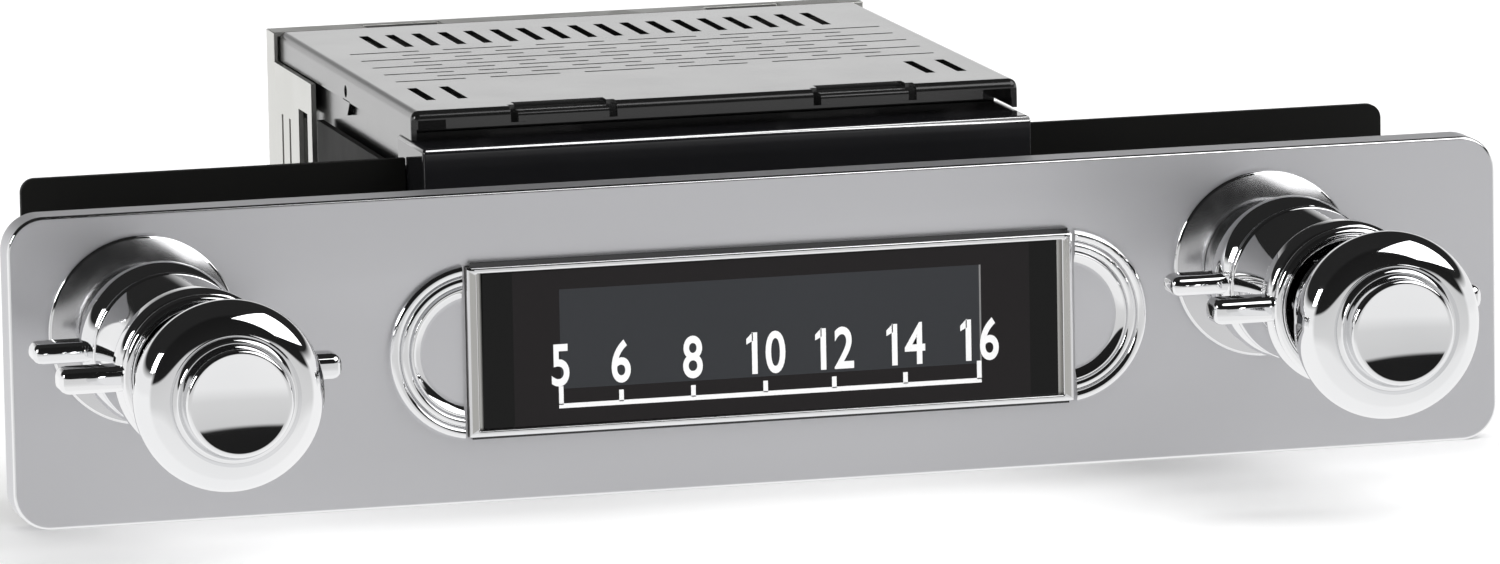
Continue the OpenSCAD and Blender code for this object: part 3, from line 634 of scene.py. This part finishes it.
lens_lo, lens_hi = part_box("dial_lens")
lens_black, shader, wire = finish("lens_acrylic", 0.0, 0.06, (0.004, 0.004, 0.004), Specular_IOR_Level=0.25)
place = wire.add("TexCoord", output=3)
across = (wire.add("SeparateXYZ", None, {0: place}, 0) - dial_x) * 1000.0
upright = (wire.add("SeparateXYZ", None, {0: place}, 2) - dial_z) * 1000.0
window = (across > -37.4) * (across < 37.2) * (upright > -7.2) * (upright < 10.0)
middle = (across > -45.6) * (across < 46.0)
strip = (across > 37.0) * (across < 37.3) * (upright > -9.8) * (upright < 10.0)
smoke = wire.tint(noise(wire, 18.0), (0.024, 0.026, 0.029), (0.030, 0.032, 0.036))
ground = wire.tint(middle, (0.001, 0.001, 0.0009), (0.0075, 0.006, 0.0065))
silver = wire.tint(noise(wire, 90.0), (0.18, 0.18, 0.18), (0.24, 0.24, 0.24))
feed(shader, Base_Color=ground.mix(window, smoke).mix(strip, silver))
bm = slab(lens_lo, lens_hi)
soften(bm, flat_edges(bm, lens_lo.y), 0.2 * mm, 3)
lens = even(piece("dial_window", bm, [lens_black]))
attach(lens, "chassis")
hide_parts("dial_lens")

scale_white, shader, wire = finish("scale_white", 0.0, 0.55, (0.86, 0.86, 0.86))
feed(shader, Base_Color=wire.tint(noise(wire, 300.0), (0.84, 0.84, 0.84), (0.90, 0.90, 0.90)))
ticks = {"5": 0, "6": 10.6, "8": 23.3, "10": 36.1, "12": 48.3, "14": 61, "16": 74.2}
scale_start, line_z, ink_y = dial_x / mm - 37.4, dial_z / mm - 10.15, lens_lo.y / mm
stroke, ink, scale_length = 0.4, 0.1, 74.2
bm = bmesh.new()
block(bm, (scale_start - stroke, ink_y - ink, line_z - stroke),
      (scale_start + scale_length + stroke, ink_y, line_z + stroke))
for number, place in ticks.items():
    tall = 3.4 if place in (0, scale_length) else 2.2
    block(bm, (scale_start + place - stroke, ink_y - ink, line_z + 0.2),
          (scale_start + place + stroke, ink_y, line_z + tall))
    text = bpy.data.curves.new("number", "FONT")
    text.body, text.align_x, text.size = number, "CENTER", 10 * mm
    text.offset, text.extrude, text.resolution_u = 0.16 * mm, 0.05 * mm, 6
    holder = bpy.data.objects.new("number", text)
    bpy.context.scene.collection.objects.link(holder)
    bpy.context.view_layer.update()
    mesh = holder.to_mesh()
    mesh.transform(Matrix.Translation(Vector((scale_start + place, ink_y - 0.05, line_z + 3.65)) * mm)
                   @ Matrix.Rotation(math.radians(90), 4, "X") @ Matrix.Diagonal((0.74, 1.01, 1, 1)))
    if number[0] == "1":
        left_edge, top_edge = min(v.co.x for v in mesh.vertices), max(v.co.z for v in mesh.vertices)
        flag = [bm.verts.new((left_edge + x * mm, (ink_y - ink) * mm, top_edge + z * mm))
                for x, z in ((0.2, 0), (-0.95, -1.15), (-0.95, -2.1), (0.2, -1.5))]
        raised = bmesh.ops.extrude_face_region(bm, geom=[bm.faces.new(flag)], use_keep_orig=True)["geom"]
        bmesh.ops.translate(bm, verts=[v for v in raised if isinstance(v, bmesh.types.BMVert)],
                            vec=(0, ink * mm, 0))
    bm.from_mesh(mesh)
    holder.to_mesh_clear()
    bpy.data.objects.remove(holder)
scale = piece("scale_print", bm, [scale_white])
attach(scale, "chassis")
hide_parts("dial_scale")

acrylic, shader, wire = finish("guide_clear", 0.0, 0.15, (0.85, 0.86, 0.86), Transmission_Weight=0.6)
feed(shader, Base_Color=wire.tint(noise(wire, 40.0), (0.82, 0.84, 0.84), (0.9, 0.9, 0.9)))
dress(acrylic, "light_guide")
display_cell, shader, wire = finish("display_cell", 0.0, 0.1, (0.02, 0.025, 0.03))
feed(shader, Base_Color=wire.tint(noise(wire, 60.0), (0.015, 0.02, 0.025), (0.03, 0.035, 0.04)))
dress(display_cell, "lcd_module")
dress(moulded("ribbon_film_white", (0.75, 0.75, 0.72), 0.35), "display_ribbon")


# ---------- Control stacks ----------
# On each side a low domed dress nut, two ring levers with wings and a push knob with
# a dished cap share one axis.  All are zinc castings in chrome, brushed on the nut.
def wing(bm, direction, root, tip, tall, low, high, radius):
    """A rounded bar from the barrel out to a lever's tip."""
    cube = bmesh.ops.create_cube(bm, size=1)["verts"]
    bmesh.ops.scale(bm, verts=cube, vec=((tip - root) * mm, tall * mm, (high - low) * mm))
    bmesh.ops.translate(bm, verts=cube, vec=(direction * (tip + root) / 2 * mm, 0, (low + high) / 2 * mm))
    edges = {e for v in cube for e in v.link_edges
             if max(abs(w.co.x) for w in e.verts) > (tip - 0.01) * mm
             or abs(e.verts[0].co.x - e.verts[1].co.x) > mm}
    soften(bm, list(edges), radius * mm, 4)


def on_shaft(bm, side):
    """Stands a turned piece on its control shaft, in front of the faceplate."""
    low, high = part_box("shaft_" + side)
    stand(bm, (low.x + high.x) / 2, (low.z + high.z) / 2)


disc_outline = ([(4.8, 0), (16, 0), (16.3, 0.3)] + arc(15.8, 0.6, 0.5, 0, 60, 6)
                + arc(9.05, -11.12, 14, 60, 79, 14) + [(11.2, 2.6), (4.8, 2.6)])
rear_outline = ([(9.9, 2.9), (11.3, 2.9), (11.3, 13.4), (11.9, 14.2)] + arc(12.3, 16.0, 1.8, -90, 0)
                + arc(9.1, 17.2, 5, 0, 46, 16) + [(12.9, 22.2)] + arc(12.5, 22.9, 0.6, -20, 90, 8)
                + [(12.0, 23.6), (3.32, 23.6), (3.32, 17.6), (9.9, 17.6)])
front_outline = ([(10.9, 24), (12.6, 24)] + arc(12.9, 24.7, 0.6, -90, 90, 10) + [(13.3, 26.2), (12.0, 42.0)]
                 + [(12.6, 43.0)] + arc(12.8, 44.6, 1.4, -90, 0, 8) + arc(11.9, 46.4, 2.3, 0, 60, 8)
                 + [(12.9, 48.8)]
                 + arc(12.5, 49.9, 1.1, -50, 90) + [(12.1, 50.9)] + arc(11.8, 50.3, 0.3, 60, 180, 4)
                 + [(11.5, 49.8), (2.47, 49.8), (2.47, 43.6), (10.9, 43.6)])
knob_mid = 70.4
knob_outline = ([(9.2, 53.1), (10.8, 53.1)] + arc(10.7, 53.4, 0.3, -90, 0, 3) + [(11, 61.2)]
                + arc(7.4, knob_mid, 8.5, -64, 0, 16) + arc(10.4, knob_mid, 5.5, 4, 83.7, 18)
                + arc(10.6, 76.7, 1.2, 262, 180, 8) + arc(8.2, 78.8, 0.8, 0, 90, 8)
                + arc(0, 106.37, 28, -73.4, -90, 14) + [(0, 73.1), (1.62, 73.1), (1.62, 53.1), (5.4, 53.1)]
                + [(5.4, 66.1), (9.2, 66.1), (9.2, 53.1)])
brushed_chrome, shader, wire = finish("brushed_chrome", 1.0, 0.25, (0.62, 0.62, 0.63))
feed(shader, Roughness=noise(wire, 260.0, 2.0).ramp(0.3, 0.7, 0.2, 0.27),
     Base_Color=wire.tint(noise(wire, 60.0), (0.58, 0.58, 0.59), (0.66, 0.66, 0.67)))
for side in SIDES:
    bm = turned(disc_outline)
    on_shaft(bm, side)
    for f in bm.faces:
        f.material_index = int(f.calc_center_median().y < face_lo.y - 1.15 * mm)
    disc = piece("dress_nut_" + side, bm, [bright_chrome, brushed_chrome])
    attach(disc, "chassis")
    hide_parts("escutcheon_" + side)
    for name, outline, span, tall, low, high in (
            ("rear_lever_", rear_outline, 22.6, 3.6, 14.2, 20.8),
            ("front_lever_", front_outline, 23.8, 4.3, 43.2, 49.6)):
        bm = turned(outline)
        for direction in (-1, 1):
            wing(bm, direction, 11.8, span, tall, low, high, 1.6)
        on_shaft(bm, side)
        lever = even(piece(name + side + "_ring", bm, [bright_chrome]))
        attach(lever, f"{side}_{name[:-1]}")
        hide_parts(name + side)
    bm = turned(knob_outline, 200, closed=False)
    on_shaft(bm, side)
    knob = piece("push_knob_" + side, bm, [bright_chrome])
    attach(knob, side + "_knob")
    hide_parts("knob_" + side)


# ---------- Controls behind the knobs ----------
# Steel-cased controls with brass bushings, hex nuts and toothed washers; steel
# sleeves and shafts turn inside each other, and a nylon plunger works the switch.
def turned_metal(name, base, gloss):
    """Bright metal with fine marks across its axis, as a lathe leaves it."""
    material, shader, wire = finish(name, 1.0, gloss, base)
    rings = noise(wire, 300.0, 2.0, 0.5, (0.3, 6, 0.3))
    feed(shader, Roughness=rings.ramp(0.3, 0.7, gloss - 0.05, gloss + 0.08),
         Base_Color=wire.tint(rings, base, tuple(0.85 * part for part in base)))
    return material


steel = turned_metal("turned_steel", (0.66, 0.66, 0.66), 0.28)
brass = turned_metal("turned_brass", (0.80, 0.60, 0.28), 0.28)
nylon = moulded("plunger_white_nylon", (0.80, 0.78, 0.72), 0.4)
dress(brass, "bushing_nuts", "board_posts")
for side in SIDES:
    dress(brass, "bushing_" + side)
    dress(steel, *(part + side for part in ("outer_sleeve_", "middle_sleeve_", "shaft_")))
    dress(nylon, "plunger_" + side)
    dress(moulded("grub_screw_black_" + side, (0.02, 0.02, 0.02), 0.4), "set_screw_" + side)
    edged("control_body_" + side, "control_case_" + side, tin, 0.4 * mm)
